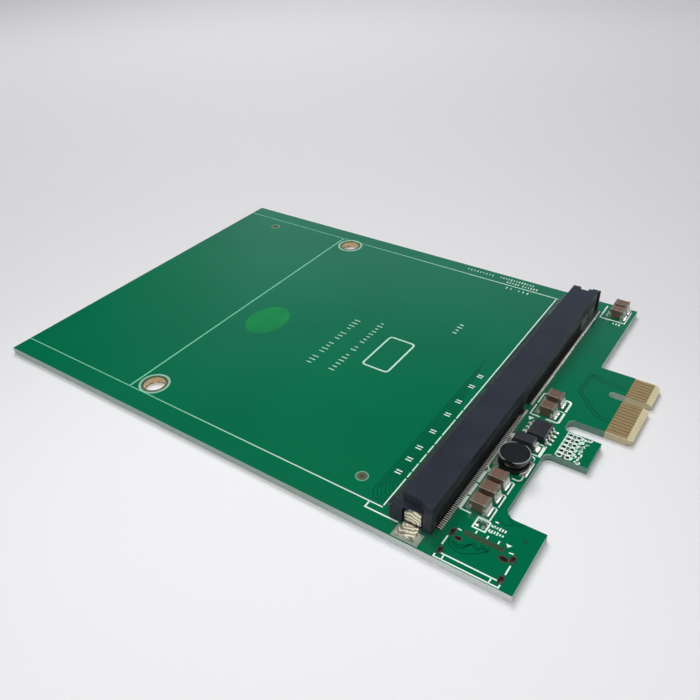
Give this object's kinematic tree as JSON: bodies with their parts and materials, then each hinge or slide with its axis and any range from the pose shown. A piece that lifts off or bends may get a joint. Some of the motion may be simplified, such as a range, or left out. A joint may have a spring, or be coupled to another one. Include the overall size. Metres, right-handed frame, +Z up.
{
  "type": "riser card",
  "caption": "Flat green adapter board with a gold edge tongue at one end, a low fine-pitch card slot across it and a small power supply beside the slot.",
  "frame": {"origin": "middle of the board's outline, on its underside", "axes": "+X along the board's length towards the edge tongue, +Y across its width, +Z up through the board to the side with the parts"},
  "size_m": [0.133, 0.0926, 0.0069],
  "materials": {
    "board": "glossy green solder mask over fibreglass, pale cut edges, white print",
    "gold": "gold-plated copper, semi-gloss",
    "contact": "pale plated copper alloy",
    "tin": "bright tin plating",
    "solder": "soldered copper pads",
    "housing": "blue-black moulded plastic, semi-matt",
    "moulding": "black moulding compound, semi-matt",
    "ceramic": "brown ceramic, satin",
    "ferrite": "dark grey ferrite, matt",
    "winding": "enamelled copper wire"
  },
  "bodies": {
    "root": {"circuit_board": "board", "hold_down_pads": "solder", "corner_capacitor_bodies": "ceramic", "output_capacitor_bodies": "ceramic", "supply_capacitor_bodies": "ceramic", "corner_capacitor_ends": "tin", "output_capacitor_ends": "tin", "supply_capacitor_ends": "tin", "resistor_bodies": "moulding", "resistor_ends": "tin", "diode_body": "moulding", "diode_terminals": "tin", "regulator_body": "moulding", "regulator_leads": "tin", "inductor_core": "ferrite", "inductor_winding": "winding", "inductor_terminals": "tin", "edge_contacts_top": "gold", "edge_contacts_bottom": "gold", "socket_pads": "gold", "slot_housing": "housing", "upper_signal_contacts": "contact", "lower_signal_contacts": "contact", "upper_power_contacts": "contact", "lower_power_contacts": "contact", "hold_down_clips": "tin"}
  },
  "joints": []
}
